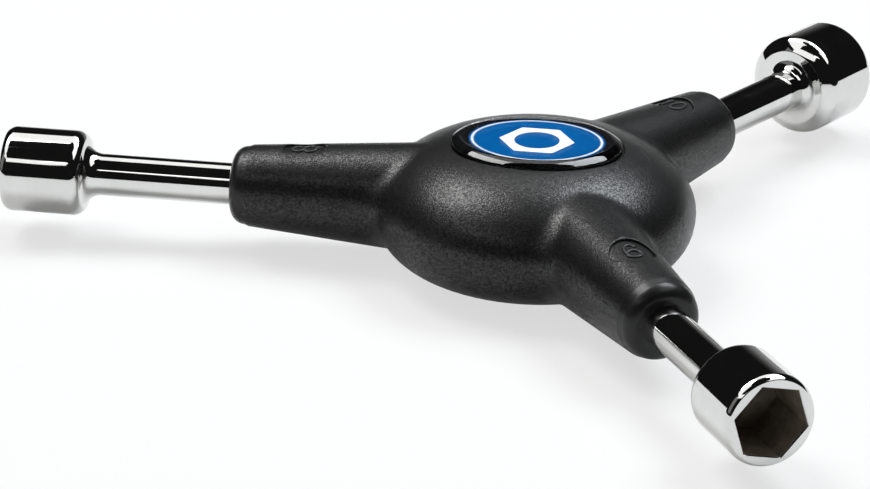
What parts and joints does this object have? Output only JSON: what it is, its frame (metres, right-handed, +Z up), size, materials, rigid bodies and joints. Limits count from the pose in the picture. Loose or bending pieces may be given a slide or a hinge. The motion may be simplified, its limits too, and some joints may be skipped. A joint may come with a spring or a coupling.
{
  "type": "y-wrench",
  "caption": "Rigid Y-shaped hand wrench: a moulded round hub with tapered arms, each holding a chromed shank with a hex socket of its own size for small nuts and bolts.",
  "frame": {"origin": "centre of the flat under the hub, on the surface that the tool lies on", "axes": "+Z up along the hub's axis, -X out along the arm of the smallest socket, +Y towards the largest socket's side"},
  "size_m": [0.1205, 0.1381, 0.0195],
  "materials": {
    "handle_nylon": "black nylon with a fine spark-eroded grain, smooth and darker at the arm ends",
    "socket_chrome": "bright chrome plate over forged steel, bare dark steel inside the hexagon",
    "label_print": "blue printed film with a black border and a plain white hexagon",
    "label_resin": "clear glossy cast resin"
  },
  "bodies": {
    "root": {"handle": "handle_nylon", "small_socket": "socket_chrome", "middle_socket": "socket_chrome", "large_socket": "socket_chrome", "label_film": "label_print", "label_dome": "label_resin"}
  },
  "joints": []
}
